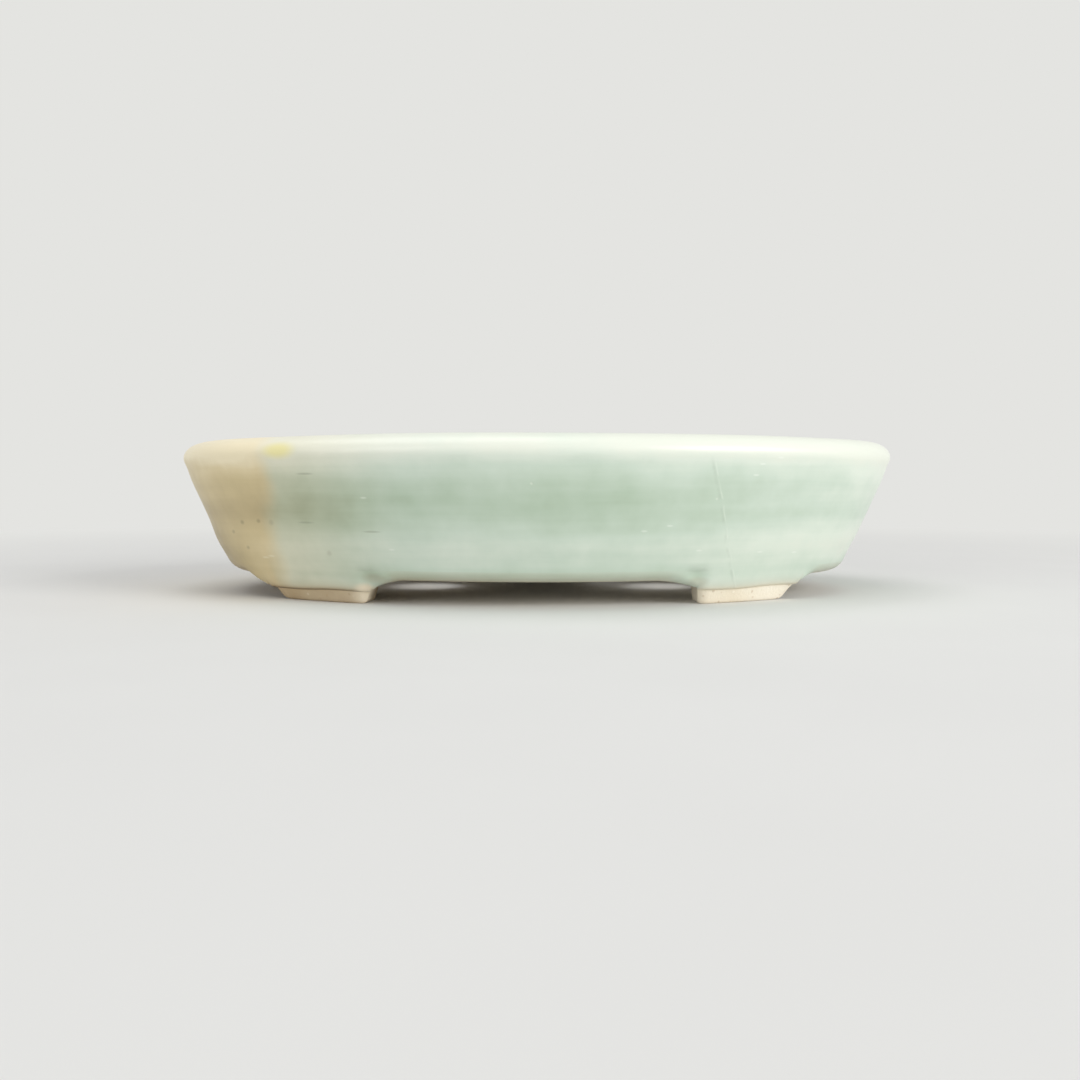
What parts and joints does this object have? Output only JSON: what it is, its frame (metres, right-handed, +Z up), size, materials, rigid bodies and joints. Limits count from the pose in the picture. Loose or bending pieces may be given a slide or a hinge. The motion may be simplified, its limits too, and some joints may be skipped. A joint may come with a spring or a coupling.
{
  "type": "oval bonsai pot",
  "caption": "Shallow oval bonsai pot with a leaning wall, rolled lip, coved feet, drain and tie-wire holes, and a pale celadon glaze over cream clay.",
  "frame": {"origin": "on the table, under the middle of the pot", "axes": "+X along the pot's length, +Y from front to back, +Z up"},
  "size_m": [0.13, 0.094, 0.027],
  "materials": {
    "bare_clay": "matt, bisque-fired stoneware",
    "celadon_glaze": "gloss celadon glaze"
  },
  "bodies": {
    "root": {"floor_slab": "bare_clay", "wall": "bare_clay", "rim_lip": "bare_clay", "foot_front_left": "bare_clay", "foot_front_right": "bare_clay", "foot_back_left": "bare_clay", "foot_back_right": "bare_clay", "glaze_coat": "celadon_glaze"}
  },
  "joints": []
}
